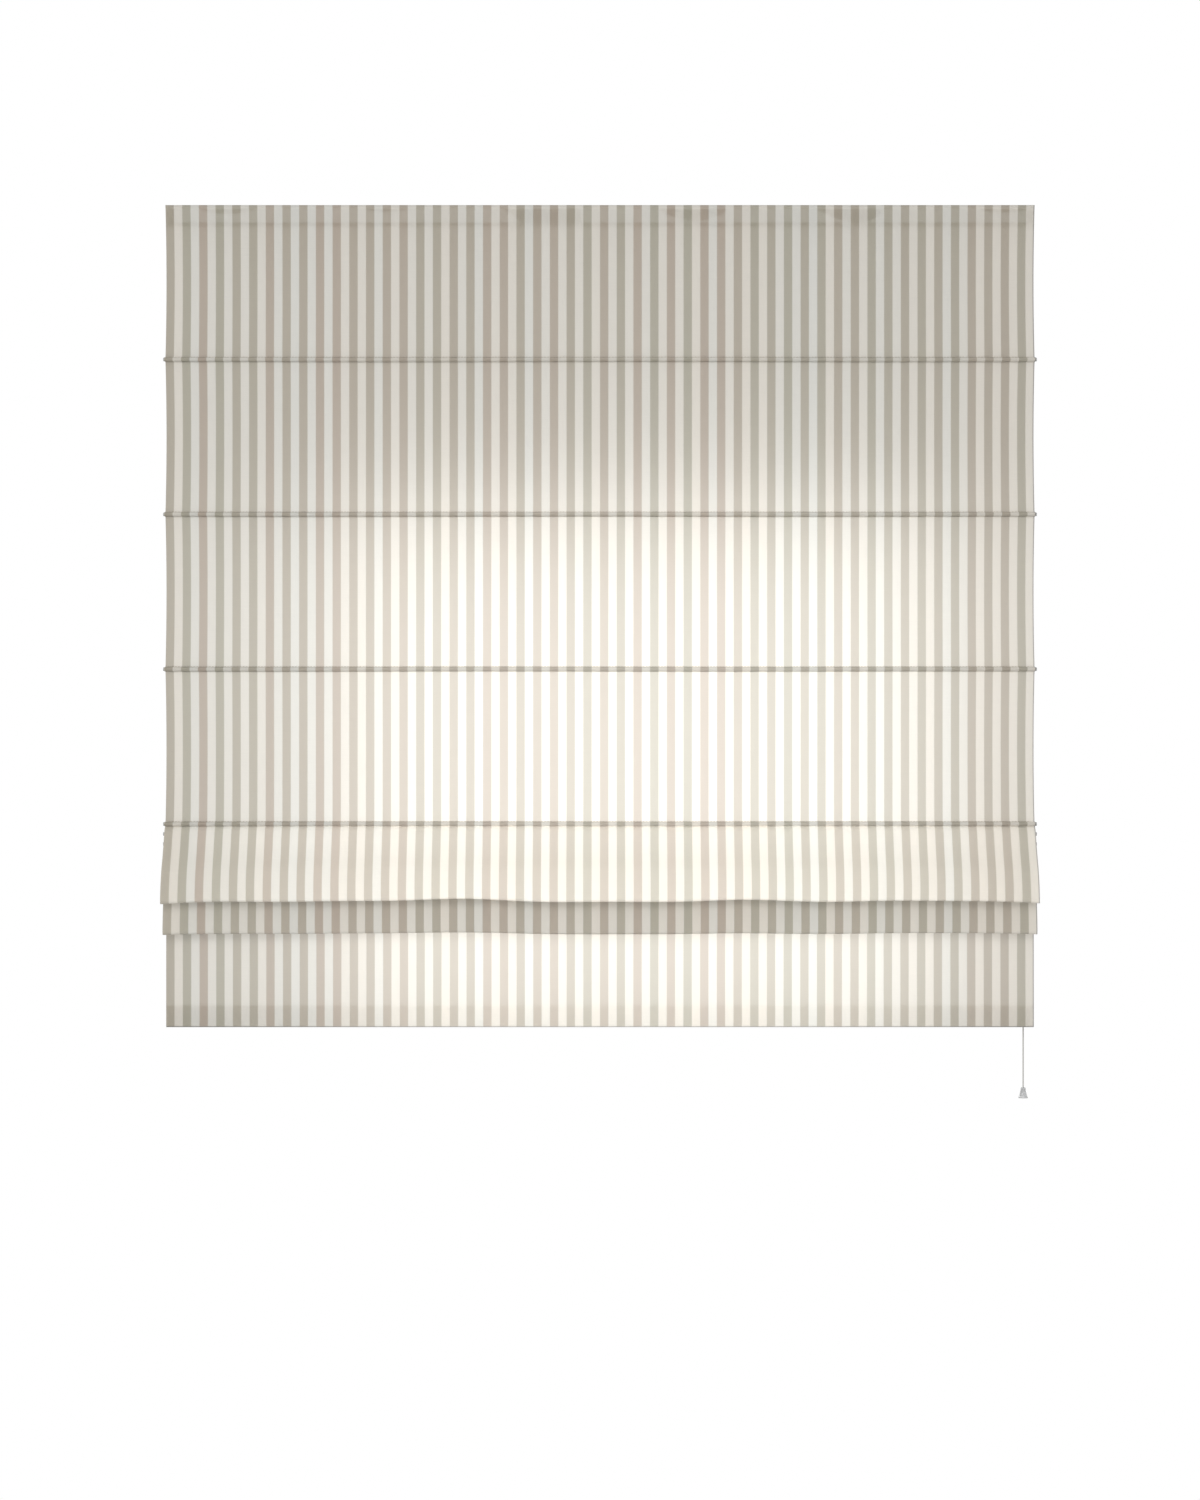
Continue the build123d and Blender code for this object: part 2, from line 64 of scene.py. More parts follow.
# ---- places and sizes: read from the frame where a node gives them, or named here ----------------
cloth_low, cloth_high = (np.array(v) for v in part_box("fabric"))
HALF = float(cloth_high[0])
TOP_Z, HEM_Z = float(cloth_high[2]), float(cloth_low[2])
CLOTH_T = 0.8 * MM
PLANE_Y = float(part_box("loop_tape")[0][1]) - CLOTH_T / 2
RODS = []
for number in range(1, 7):
    low, high = (np.array(v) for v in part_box(f"rod_{number}"))
    RODS.append(((low[1] + high[1]) / 2, (low[2] + high[2]) / 2))
ROD_Y = RODS[0][0]
LIP_A, LIP_B = -1.021, -1.070  # lower edges of the two folds
LIP_A_Y, LIP_B_Y = -38 * MM, -16 * MM  # and how far they stand in front of the flat cloth
HEM_Y = 8 * MM  # how far the hem stands behind the flat cloth
POCKET = 3.6 * MM  # depth of the hem's pocket, from the middle of its front layer to its back one
STRIPE = 12.5 * MM
THREAD_PITCH = 0.85 * MM
THROUGH = 0.45  # the share of the light that the cloth lets through
TUCK_R = 2.7 * MM  # from a rod's middle to the middle of the cloth round it
SEAM_DROP = 3.2 * MM  # from a rod's middle to the lower seam of its tuck
SEAM_RISE = 3.9 * MM  # and to the row of stitches over it
INNER_CORD = 0.215
CORD_XS = (-0.600, -INNER_CORD, INNER_CORD, 0.600)
RING_Y = -0.070  # the lift cords' plane, behind the cloth
TAIL_X, TAIL_TOP, TAIL_FOOT = 0.639, -0.017, -0.530  # the cord tails, from the lock to the joiner
LANE_Y, LANE_PITCH = -0.038, 1.6 * MM  # the four cords lie side by side through the lock
LANES = tuple(LANE_Y + (n - 1.5) * LANE_PITCH for n in range(4))
RUN_Z = 1.7 * MM  # height of the cords along the rail
CORD_R, DRAW_R, KNOT_R = 0.6 * MM, 1.0 * MM, 1.5 * MM
BEND = 4.7 * MM  # from a roller's middle to the middle of the cord on it


# ---- meshes ----------------------------------------------------------------------------------
def new_object(name, points, faces, smooth=True):
    """An object with a mesh of these points and faces, in the scene."""
    mesh = bpy.data.meshes.new(name)
    mesh.from_pydata([tuple(p) for p in points], [], faces)
    mesh.validate()
    if smooth:
        mesh.shade_smooth()
    piece = bpy.data.objects.new(name, mesh)
    bpy.context.scene.collection.objects.link(piece)
    return piece


def smooth_line(points, step):
    """A Catmull-Rom line through (y, z) points, resampled evenly about every step."""
    p = np.array(points, float)
    p = np.vstack([2 * p[0] - p[1], p, 2 * p[-1] - p[-2]])
    out = []
    for a, b, c, d in zip(p, p[1:], p[2:], p[3:]):
        t = np.linspace(0, 1, 40, endpoint=False)[:, None]
        out.append(0.5 * (2 * b + (c - a) * t + (2 * a - 5 * b + 4 * c - d) * t**2
                          + (3 * b - a - 3 * c + d) * t**3))
    dense = np.vstack(out + [p[-2:-1]])
    along = np.concatenate([[0], np.cumsum(np.linalg.norm(np.diff(dense, axis=0), axis=1))])
    count = max(3, int(round(along[-1] / step)) + 1)
    marks = np.linspace(0, along[-1], count)
    return np.column_stack([np.interp(marks, along, dense[:, k]) for k in range(2)])


def columns():
    """X places across the cloth, closer together at the two sides."""
    inner = np.linspace(-HALF + 6 * MM, HALF - 6 * MM, 161)
    edge = HALF - np.array([0.0, 0.5, 1.5, 3.5]) * MM
    return np.concatenate([-edge, inner, edge[::-1]])


def waist(share):
    """How far the sides pull in between two rods."""
    return 1.6 * MM * np.sin(math.pi * np.clip(share, 0, 1)) ** 0.8


def lip_wave(x):
    """A fold's lower edge: held up a little at the two inner cords, lower at the ends."""
    held = np.exp(-(((np.abs(x) - INNER_CORD) / 0.085) ** 2))
    ends = np.clip((np.abs(x) - 0.50) / 0.15, 0, 1) ** 2
    return (2.4 * held - 3.0 * ends + 0.5 * np.sin(x * 31 + 1.0)) * MM


def none(*where):
    """No pull, drop or ripple: the cloth keeps to its line."""
    return 0 * where[0]


def cloth_piece(name, line, down, sides=none, drop=none, ripple=none):
    """A sheet of cloth that follows line in YZ across the full width.

    down is where its cloth map starts, below the top of the cloth.
    sides(t) pulls the side edges in, drop(x, t) moves points down or up and ripple(x, t) moves
    them to and fro, for t from 0 at the line's start to 1 at its end.
    """
    xs = columns()
    line = np.array(line, float)
    steps = np.linalg.norm(np.diff(line, axis=0), axis=1)
    along = np.concatenate([[0], np.cumsum(steps)])
    t = along / along[-1]
    tangent = np.gradient(line, along, axis=0)
    tangent /= np.linalg.norm(tangent, axis=1)[:, None]
    normal = np.column_stack([tangent[:, 1], -tangent[:, 0]])  # towards the room on a falling line
    rows, cols = len(line), len(xs)
    x = np.broadcast_to(xs, (rows, cols)).copy()
    tt = np.broadcast_to(t[:, None], (rows, cols))
    x -= np.sign(x) * (np.abs(x) / HALF) ** 10 * sides(tt)
    shift = ripple(x, tt)
    normal_y, normal_z = normal[:, :1], normal[:, 1:]
    y = line[:, :1] + normal_y * shift
    z = line[:, 1:] + normal_z * shift + drop(x, tt)
    points = []
    for out in (CLOTH_T / 2, -CLOTH_T / 2):
        points.append(np.stack([x, y + out * normal_y, z + out * normal_z], axis=-1).reshape(-1, 3))
    points = np.vstack(points)
    index = np.arange(rows * cols).reshape(rows, cols)
    back = index + rows * cols
    faces, uvs = [], []

    def uv(row, col):
        return (float(xs[col]), float(down + along[row]))

    for r in range(rows - 1):
        for c in range(cols - 1):
            corner = [(r, c), (r + 1, c), (r + 1, c + 1), (r, c + 1)]
            faces.append([int(index[k]) for k in corner])
            uvs.append([uv(*k) for k in corner])
            faces.append([int(back[k]) for k in reversed(corner)])
            uvs.append([uv(*k) for k in reversed(corner)])
    rim = [((0, c), (0, c + 1)) for c in range(cols - 1)]
    rim += [((r, cols - 1), (r + 1, cols - 1)) for r in range(rows - 1)]
    rim += [((rows - 1, c + 1), (rows - 1, c)) for c in reversed(range(cols - 1))]
    rim += [((r + 1, 0), (r, 0)) for r in reversed(range(rows - 1))]
    for a, b in rim:
        faces.append([int(index[a]), int(index[b]), int(back[b]), int(back[a])])
        uvs.append([uv(*a), uv(*b), uv(*b), uv(*a)])
    piece = new_object(name, points, faces)
    layer = piece.data.uv_layers.new(name="cloth")
    flat = np.array([v for face in uvs for v in face], np.float32).ravel()
    layer.data.foreach_set("uv", flat)
    return piece


def nurbs(name, points):
    """A curve of one NURBS spline, which its route points pull into smooth bends."""
    curve = bpy.data.curves.new(name, "CURVE")
    curve.dimensions = "3D"
    spline = curve.splines.new("NURBS")
    spline.points.add(len(points) - 1)
    for point, place in zip(spline.points, points):
        point.co = (*place, 1.0)
    spline.order_u = 3
    spline.use_endpoint_u = True
    return curve


def route(points):
    """The places along a cord's smooth line, read from the NURBS spline of its route points."""
    curve = nurbs("route", points)
    holder = bpy.data.objects.new("route", curve)
    mesh = bpy.data.meshes.new_from_object(holder)
    places = [tuple(v.co) for v in mesh.vertices]
    bpy.data.meshes.remove(mesh)
    bpy.data.objects.remove(holder)
    bpy.data.curves.remove(curve)
    return places


def tube(name, lines, radius, sides=10):
    """One mesh of round closed tubes, each along the smooth line of its own route points."""
    points, faces = [], []
    ring = np.linspace(0, 2 * math.pi, sides, endpoint=False)
    for line in lines:
        line = np.array(route(line), float)
        tangent = np.gradient(line, axis=0)
        tangent /= np.linalg.norm(tangent, axis=1)[:, None]
        reference = np.array([0.0, 1.0, 0.0] if abs(tangent[0][1]) < 0.9 else [1.0, 0.0, 0.0])
        first = len(points)
        for place, way in zip(line, tangent):
            u = np.cross(way, reference)
            u /= np.linalg.norm(u)
            v = np.cross(way, u)
            points.extend(place + radius * (math.cos(a) * u + math.sin(a) * v) for a in ring)
        for k in range(len(line) - 1):
            for j in range(sides):
                a, b = first + k * sides + j, first + k * sides + (j + 1) % sides
                faces.append([a, a + sides, b + sides, b])
        faces.append([first + j for j in range(sides)])
        last = first + (len(line) - 1) * sides
        faces.append([last + j for j in reversed(range(sides))])
    return new_object(name, points, faces)


def straight(a, b):
    """The route points of a straight length of cord."""
    a, b = np.array(a, float), np.array(b, float)
    return [a, (a + b) / 2, b]


def stitches(name, z, y, length=3.2 * MM, pitch=4.6 * MM, radius=0.28 * MM):
    """A row of thread stitches, each a short tapered bead that dips into the cloth at its ends."""
    points, faces = [], []
    profile = [(-0.5, 0.25), (-0.3, 0.9), (0.3, 0.9), (0.5, 0.25)]
    sides = 5
    x = -HALF + 5 * MM
    while x < HALF - 5 * MM - length:
        first = len(points)
        for along, fat in profile:
            for j in range(sides):
                a = 2 * math.pi * j / sides
                points.append((x + length * (along + 0.5), y + radius * fat * math.cos(a),
                               z + radius * fat * math.sin(a)))
        for k in range(len(profile) - 1):
            for j in range(sides):
                a, b = first + k * sides + j, first + k * sides + (j + 1) % sides
                faces.append([a, b, b + sides, a + sides])
        faces.append([first + j for j in reversed(range(sides))])
        faces.append([first + (len(profile) - 1) * sides + j for j in range(sides)])
        x += pitch
    return new_object(name, points, faces)


# ---- materials -------------------------------------------------------------------------------
class Nodes:
    """Short calls for building one material."""

    def __init__(self, name):
        self.material = bpy.data.materials.new(name)
        self.material.use_nodes = True
        self.tree = self.material.node_tree
        self.shader = self.tree.nodes["Principled BSDF"]
        self.output = self.tree.nodes["Material Output"]

    def add(self, kind, **settings):
        node = self.tree.nodes.new(kind)
        for key, value in settings.items():
            setattr(node, key, value)
        return node

    def link(self, a, b):
        self.tree.links.new(a, b)

    def math(self, operation, a, b=0.0, c=0.0):
        node = self.add("ShaderNodeMath", operation=operation)
        for socket, value in zip(node.inputs, (a, b, c)):
            if isinstance(value, (int, float)):
                socket.default_value = value
            else:
                self.link(value, socket)
        return node.outputs[0]

    def mix(self, share, a, b, blend="MIX"):
        node = self.add("ShaderNodeMix", data_type="RGBA", blend_type=blend)
        for socket, value in zip((node.inputs[0], node.inputs[6], node.inputs[7]), (share, a, b)):
            if isinstance(value, (int, float)):
                socket.default_value = value
            elif isinstance(value, tuple):
                socket.default_value = (*value, 1.0)
            else:
                self.link(value, socket)
        return node.outputs[2]

    def noise(self, vector, scale, detail=2.0, roughness=0.5):
        node = self.add("ShaderNodeTexNoise")
        self.link(vector, node.inputs["Vector"])
        node.inputs["Scale"].default_value = scale
        node.inputs["Detail"].default_value = detail
        node.inputs["Roughness"].default_value = roughness
        return node.outputs["Fac"]

    def scaled(self, vector, factors):
        node = self.add("ShaderNodeVectorMath", operation="MULTIPLY")
        self.link(vector, node.inputs[0])
        node.inputs[1].default_value = factors
        return node.outputs[0]

    def bump(self, height, distance, strength=1.0):
        node = self.add("ShaderNodeBump")
        node.inputs["Distance"].default_value = distance
        node.inputs["Strength"].default_value = strength
        self.link(height, node.inputs["Height"])
        return node.outputs["Normal"]


def fabric_material():
    """Woven stripes, beige and cream, that let some of the light behind them through.

    The cloth map runs in metres: u across the blind and v down the cloth from its top edge.
    """
    m = Nodes("striped_cloth")
    uv = m.add("ShaderNodeUVMap", uv_map="cloth").outputs["UV"]
    split = m.add("ShaderNodeSeparateXYZ")
    m.link(uv, split.inputs[0])
    u, v = split.outputs[0], split.outputs[1]
    frayed = m.math("SUBTRACT", m.noise(m.scaled(uv, (1500, 900, 1)), 1.0), 0.5)
    ragged = m.math("MULTIPLY", frayed, 0.35 * MM)
    count = m.math("DIVIDE", m.math("ADD", m.math("ADD", u, HALF), ragged), STRIPE)
    phase = m.math("PINGPONG", m.math("ADD", count, 0.5), 1.0)
    beige = m.add("ShaderNodeMapRange", interpolation_type="SMOOTHSTEP")
    m.link(phase, beige.inputs["Value"])
    beige.inputs["From Min"].default_value = 0.475
    beige.inputs["From Max"].default_value = 0.525
    stripe = beige.outputs[0]
    index = m.math("FLOOR", count)
    tint = m.add("ShaderNodeTexWhiteNoise", noise_dimensions="1D")
    m.link(index, tint.inputs["W"])
    yarn = m.noise(m.scaled(uv, (1300, 22, 1)), 1.0, 3.0, 0.6)
    weft = m.noise(m.scaled(uv, (20, 1300, 1)), 1.0, 3.0, 0.6)
    beige_colour = m.mix(tint.outputs["Value"], (0.522, 0.446, 0.368), (0.480, 0.458, 0.370))
    cream_colour = m.mix(tint.outputs["Value"], (0.812, 0.770, 0.696), (0.783, 0.778, 0.734))
    colour = m.mix(stripe, cream_colour, beige_colour)
    shade = m.math("ADD", m.math("MULTIPLY", m.math("ADD", yarn, weft), 0.09), 0.91)
    tone = m.add("ShaderNodeCombineColor")
    for k in range(3):
        m.link(shade, tone.inputs[k])
    colour = m.mix(1.0, colour, tone.outputs[0], "MULTIPLY")
    # painted shade: thin dark lines along the right edge and along the hem's lower edge, where
    # these edges fall into shade
    side = m.math("GREATER_THAN", u, HALF - 1.5 * MM)
    hem = m.math("GREATER_THAN", v, TOP_Z - HEM_Z - 0.8 * MM)
    edge = m.math("MULTIPLY", m.math("MAXIMUM", side, hem), 0.75)
    colour = m.mix(edge, colour, (0.20, 0.19, 0.175))
    threads = 2 * math.pi / THREAD_PITCH
    warp_wave = m.math("SINE", m.math("MULTIPLY", u, threads))
    weft_wave = m.math("SINE", m.math("MULTIPLY", v, threads))
    weave = m.math("ADD", m.math("MULTIPLY", warp_wave, weft_wave), m.math("MULTIPLY", yarn, 1.6))
    soft = m.noise(m.scaled(uv, (60, 14, 1)), 1.0, 2.0)
    normal = m.bump(weave, 0.06 * MM, 0.7)
    wide = m.add("ShaderNodeBump")
    wide.inputs["Distance"].default_value = 0.5 * MM
    wide.inputs["Strength"].default_value = 0.35
    m.link(soft, wide.inputs["Height"])
    m.link(normal, wide.inputs["Normal"])
    s = m.shader
    m.link(colour, s.inputs["Base Color"])
    m.link(wide.outputs["Normal"], s.inputs["Normal"])
    s.inputs["Roughness"].default_value = 0.88
    s.inputs["Specular IOR Level"].default_value = 0.2
    s.inputs["Sheen Weight"].default_value = 0.15
    s.inputs["Sheen Roughness"].default_value = 0.6
    through = m.add("ShaderNodeBsdfTranslucent")
    m.link(m.mix(0.75, colour, (1.0, 1.0, 1.0)), through.inputs["Color"])
    both = m.add("ShaderNodeMixShader")
    both.inputs[0].default_value = THROUGH
    m.link(s.outputs[0], both.inputs[1])
    m.link(through.outputs[0], both.inputs[2])
    m.link(both.outputs[0], m.output.inputs["Surface"])
    return m.material


def plain_material(name, colour, rough, metal=0.0, coat=0.0, grain=240.0, bump=0.02 * MM,
                   vary=0.06, transmission=0.0, stretch=(1, 1, 1)):
    """A moulded, painted or metal surface: fine grain, slight colour drift and uneven gloss."""
    m = Nodes(name)
    place = m.add("ShaderNodeTexCoord").outputs["Object"]
    place = m.scaled(place, stretch)
    fine = m.noise(place, grain * 8, 3.0)
    broad = m.noise(place, grain / 12, 2.0)
    darker = tuple(c * (1 - vary * 2) for c in colour)
    m.link(m.mix(broad, darker, colour), m.shader.inputs["Base Color"])
    gloss = m.math("ADD", m.math("MULTIPLY", fine, 0.14), rough - 0.07)
    m.link(gloss, m.shader.inputs["Roughness"])
    m.link(m.bump(fine, bump), m.shader.inputs["Normal"])
    m.shader.inputs["Metallic"].default_value = metal
    m.shader.inputs["Coat Weight"].default_value = coat
    m.shader.inputs["Transmission Weight"].default_value = transmission
    return m.material


def braid_material(name, colour, pitch=1.6 * MM):
    """Braided cord: two crossing spirals of yarn in the bump, with painted shade darkening the
    colour in the grooves between them.
    """
    m = Nodes(name)
    place = m.add("ShaderNodeTexCoord").outputs["Object"]
    split = m.add("ShaderNodeSeparateXYZ")
    m.link(place, split.inputs[0])
    turns = 2 * math.pi / pitch
    around = m.math("ADD", split.outputs[0], split.outputs[1])
    one = m.math("SINE", m.math("MULTIPLY", m.math("ADD", split.outputs[2], around), turns))
    two = m.math("SINE", m.math("MULTIPLY", m.math("SUBTRACT", split.outputs[2], around), turns))
    braid = m.math("MAXIMUM", one, two)
    # painted shade: the colour is darker where the braid's bump is low, in the grooves between the
    # yarns
    share = m.math("MULTIPLY", m.math("ADD", braid, 1.0), 0.5)
    m.link(m.mix(share, tuple(c * 0.72 for c in colour), colour), m.shader.inputs["Base Color"])
    m.link(m.bump(braid, 0.1 * MM), m.shader.inputs["Normal"])
    m.shader.inputs["Roughness"].default_value = 0.75
    return m.material


FABRIC = fabric_material()
THREAD = braid_material("sewing_thread", (0.62, 0.57, 0.48), 0.5 * MM)
CORD = braid_material("cord_braid", (0.66, 0.65, 0.62))
WHITE = plain_material("moulded_white", (0.80, 0.80, 0.78), 0.38, coat=0.1)
CLEAR = plain_material("clear_plastic", (0.90, 0.91, 0.92), 0.16, transmission=0.55, vary=0.02)
RAIL = plain_material("powder_coat", (0.80, 0.80, 0.785), 0.42, bump=0.04 * MM)
BRACKET = plain_material("bracket_paint", (0.76, 0.76, 0.74), 0.45, bump=0.04 * MM)
ZINC = plain_material("zinc_plate", (0.60, 0.60, 0.58), 0.34, metal=1.0)
STEEL = plain_material("steel_rod", (0.70, 0.70, 0.69), 0.30, metal=1.0, stretch=(0.02, 1, 1))
BAR = plain_material("mill_aluminium", (0.74, 0.74, 0.75), 0.36, metal=1.0, stretch=(0.02, 1, 1))
TAPE = plain_material("tape_pile", (0.82, 0.82, 0.80), 0.92, grain=400, bump=0.25 * MM)
finish = {"rod": STEEL, "clear_plastic": CLEAR, "white_plastic": WHITE, "rail": RAIL,
          "tape": TAPE, "bracket": BRACKET, "fastener": ZINC, "bar": BAR, "cord": CORD,
          "pin": ZINC, "fabric": FABRIC}
for entry in frame["record"]["subparts"]:
    node = frame["nodes"][entry["node"]]
    for holder in node.material_slots:
        holder.material = finish[entry["material_slot"]]


def dress(piece, material):
    """Gives a piece its material."""
    piece.data.materials.append(material)
    return piece


# ---- the flat bays ---------------------------------------------------------------------------
BODIES = ["frame", "row_1", "row_2", "row_3", "row_4", "row_5", "hem"]


def wrinkles(seed, height):
    """Slow uneven waves across the cloth, strongest between two rods, and finer ones near them."""
    def wave(x, t):
        swell = np.sin(math.pi * np.clip(t, 0, 1))
        slow = np.sin(x * 5.1 + seed) + 0.6 * np.sin(x * 11.7 + 2.3 * seed + 2.0 * t)
        fine = 0.35 * np.sin(x * 27.0 + 4.1 * seed - 3.0 * t) * np.abs(2 * t - 1)
        return height * (slow * swell + fine)
    return wave


tops = [TOP_Z] + [z for _, z in RODS[:4]]
for k in range(4):
    upper, lower = tops[k], tops[k + 1]
    if k == 3:
        lower = lower - SEAM_DROP
    line = smooth_line([(PLANE_Y, upper), (PLANE_Y + 0.5 * MM, (upper + lower) / 2),
                        (PLANE_Y, lower)], 6 * MM)
    bay = cloth_piece(f"cloth_bay_{k + 1}", line, TOP_Z - upper, sides=waist,
                      ripple=wrinkles(k + 1.0, 0.28 * MM))
    dress(bay, FABRIC)
    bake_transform(bay)
    if k == 0:
        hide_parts("fabric")


# ---- tucks: the sewn tunnels that hold the rods ------------------------------------------------
def tuck_line(z):
    """The cloth's way round a rod, from its upper seam to its lower one."""
    r = TUCK_R
    angles = np.radians(np.linspace(62, 298, 15))
    arc = [(ROD_Y + r * math.cos(a), z + r * math.sin(a)) for a in angles]
    front = PLANE_Y - CLOTH_T
    head = [(front - 0.1 * MM, z + r + 0.9 * MM), (front - 0.3 * MM, z + r + 0.35 * MM)]
    tail = [(front - 0.3 * MM, z - r - 0.35 * MM), (front - 0.1 * MM, z - r - 0.9 * MM)]
    return np.array(head + arc + tail)


for k, (_, z) in enumerate(RODS, start=1):
    line = smooth_line(tuck_line(z), 0.8 * MM)
    tuck = cloth_piece(f"tuck_{k}", line, TOP_Z - z,
                       sides=lambda t: -1.3 * MM * np.sin(math.pi * t),
                       drop=lambda x, t: 0.25 * MM * np.sin(x * 9.0 + k))
    dress(tuck, FABRIC)
    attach(tuck, BODIES[k])
    if k <= 4:  # the folds cover the other two
        seam = stitches(f"tuck_stitches_{k}", z + SEAM_RISE, PLANE_Y - CLOTH_T * 1.6)
        dress(seam, THREAD)
        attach(seam, BODIES[k])

# ---- the folds -------------------------------------------------------------------------------
z4, z5, z6 = (z for _, z in RODS[3:6])


def from_plane(points):
    """Places whose y is given in mm from the flat cloth's plane."""
    return [(PLANE_Y + y * MM, z) for y, z in points]


def lip_ripple(x, t):
    """The fold's belly is a little uneven between the cords."""
    return (0.9 * np.sin(x * 8.0 + 0.7) + 0.5 * np.sin(x * 17.0 + 2.0)) * MM * t**2


def flare(amount):
    """A front layer's side edges stand out more and more towards its lip."""
    return lambda t: -amount * t**1.5


def flare_back(amount):
    """The same for a back layer, whose line starts at the lip."""
    return lambda t: -amount * (1 - t) ** 1.5


def fold(name, front_points, back_points, upper, lower, out, sag):
    """One fold: a front layer on the upper rod and a back layer on the lower one.

    upper and lower are the layer's body, the rod it rests on and a place at that rod; the rod
    and the place are not used. out is how far the lip's corners stand out, and sag is the share
    of the lip's wave.
    """
    front_line = smooth_line(from_plane(front_points), 3 * MM)
    back_line = smooth_line(from_plane(back_points), 3 * MM)
    for tag, line, side, drop, ripple, (body, rod, anchor) in (
            ("front", front_line, flare(out),
             lambda x, t: sag * lip_wave(x) * t**2, lip_ripple, upper),
            ("back", back_line, flare_back(out),
             lambda x, t: sag * lip_wave(x) * (1 - t) ** 2, lambda x, t: lip_ripple(x, 1 - t),
             lower)):
        piece = cloth_piece(f"{name}_{tag}", line, TOP_Z - z4, side, drop, ripple)
        dress(piece, FABRIC)
        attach(piece, body)
        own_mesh(piece)


lip = LIP_A_Y / MM
fold("fold_a",
     [(-0.8, z4 - 3.0 * MM), (-8.0, z4 - 8 * MM), (-13.0, z4 - 18 * MM), (-17.5, z4 - 31 * MM),
      (-24.0, z4 - 47 * MM), (-32.5, z4 - 66 * MM), (lip + 0.8, z4 - 86 * MM),
      (lip - 0.3, z4 - 102 * MM), (lip + 0.4, LIP_A + 3.0 * MM), (lip + 1.4, LIP_A + 0.9 * MM),
      (lip + 2.8, LIP_A + 0.4 * MM)],
     [(lip + 2.8, LIP_A + 0.4 * MM), (lip + 4.2, LIP_A + 1.4 * MM), (lip + 5.2, LIP_A + 5 * MM),
      (-25.5, LIP_A + 45 * MM), (-11.6, z5 - 10 * MM), (-7.0, z5 - 3 * MM), (-6.6, z5 + 1.6 * MM),
      (-3.6, z5 + 4.2 * MM), (-1.2, z5 + 3.4 * MM)],
     upper=("row_4", "rod_4", (0, PLANE_Y - 1 * MM, z4 - 3 * MM)),
     lower=("row_5", "rod_5", (0, PLANE_Y - 3 * MM, z5)), out=2.4 * MM, sag=1.0)
lip = LIP_B_Y / MM
fold("fold_b",
     [(-0.8, z5 - 3.2 * MM), (-8.2, z5 - 9 * MM), (-9.8, z6 - 10 * MM), (-12.8, LIP_B + 80 * MM),
      (lip + 0.4, LIP_B + 40 * MM), (lip - 0.6, LIP_B + 18 * MM), (lip + 0.4, LIP_B + 3.0 * MM),
      (lip + 1.3, LIP_B + 0.9 * MM), (lip + 2.6, LIP_B + 0.4 * MM)],
     [(lip + 2.6, LIP_B + 0.4 * MM), (lip + 4.0, LIP_B + 1.4 * MM), (lip + 4.8, LIP_B + 5 * MM),
      (-9.4, LIP_B + 60 * MM), (-7.2, z6 - 6 * MM), (-6.6, z6 + 1.6 * MM), (-3.6, z6 + 4.2 * MM),
      (-1.2, z6 + 3.4 * MM)],
     upper=("row_5", "rod_5", (0, PLANE_Y - 1 * MM, z5 - 3 * MM)),
     lower=("hem", "rod_6", (0, PLANE_Y - 3 * MM, z6)), out=2.0 * MM, sag=0.35)

# the cloth between two gathered rods, as a flat strip in the cloth's plane
for name, upper_z, lower_z, upper_body, lower_body, rest in (
        ("cloth_bay_5", z4 - SEAM_DROP, z5, "row_4", "row_5", "rod_5"),
        ("cloth_bay_6", z5, z6, "row_5", "hem", "rod_6")):
    line = [(PLANE_Y, z) for z in np.linspace(upper_z, lower_z, 13)]
    strip = cloth_piece(name, line, TOP_Z - upper_z)
    dress(strip, FABRIC)
    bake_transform(strip)

# ---- the last panel and its hem ----------------------------------------------------------------
hem_y = HEM_Y / MM
panel_line = smooth_line(from_plane(
    [(0.0, z6 - 1 * MM), (1.6, z6 - 24 * MM), (6.6, z6 - 60 * MM), (hem_y, z6 - 110 * MM),
     (hem_y + 0.2, (z6 + HEM_Z) / 2 - 60 * MM), (hem_y, HEM_Z + 5 * MM),
     (hem_y + 0.5, HEM_Z + 1.3 * MM), (hem_y + 1.8, HEM_Z + 0.4 * MM)]), 4 * MM)
pocket_line = smooth_line(from_plane(
    [(hem_y + 1.8, HEM_Z + 0.4 * MM), (hem_y + 3.1, HEM_Z + 1.3 * MM),
     (hem_y + 3.6, HEM_Z + 4 * MM), (hem_y + 3.6, HEM_Z + 24 * MM),
     (hem_y + 1.2, HEM_Z + 28 * MM), (hem_y + 1.1, HEM_Z + 31 * MM)]), 2 * MM)


def panel_ripple(x, t):
    """Slight waves that die out where the weight bar keeps the hem straight."""
    hang = np.sin(math.pi * np.clip(t / 0.82, 0, 1)) ** 0.7
    return (0.5 * np.sin(x * 6.3 + 0.4) + 0.3 * np.sin(x * 15.0 + 2.0)) * MM * hang


for name, line, ripple in (("cloth_panel", panel_line, panel_ripple),
                           ("hem_pocket", pocket_line, none)):
    piece = cloth_piece(name, line, TOP_Z - z6, ripple=ripple)
    dress(piece, FABRIC)
    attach(piece, "hem")
    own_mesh(piece)
hem_seam = stitches("hem_stitches", HEM_Z + 30 * MM, PLANE_Y + HEM_Y + POCKET * 0.45 + 0.2 * MM)
dress(hem_seam, THREAD)
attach(hem_seam, "hem")
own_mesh(hem_seam)


# ---- lift cords ------------------------------------------------------------------------------
def cord_piece(name, routes, radius=CORD_R):
    """One piece of braided cord for each route, in one mesh."""
    return dress(tube(name, routes, radius), CORD)


def plumb(upper, lower):
    """A straight length of each of the four lift cords, from one height down to another."""
    return [straight((x, RING_Y, upper), (x, RING_Y, lower)) for x in CORD_XS]


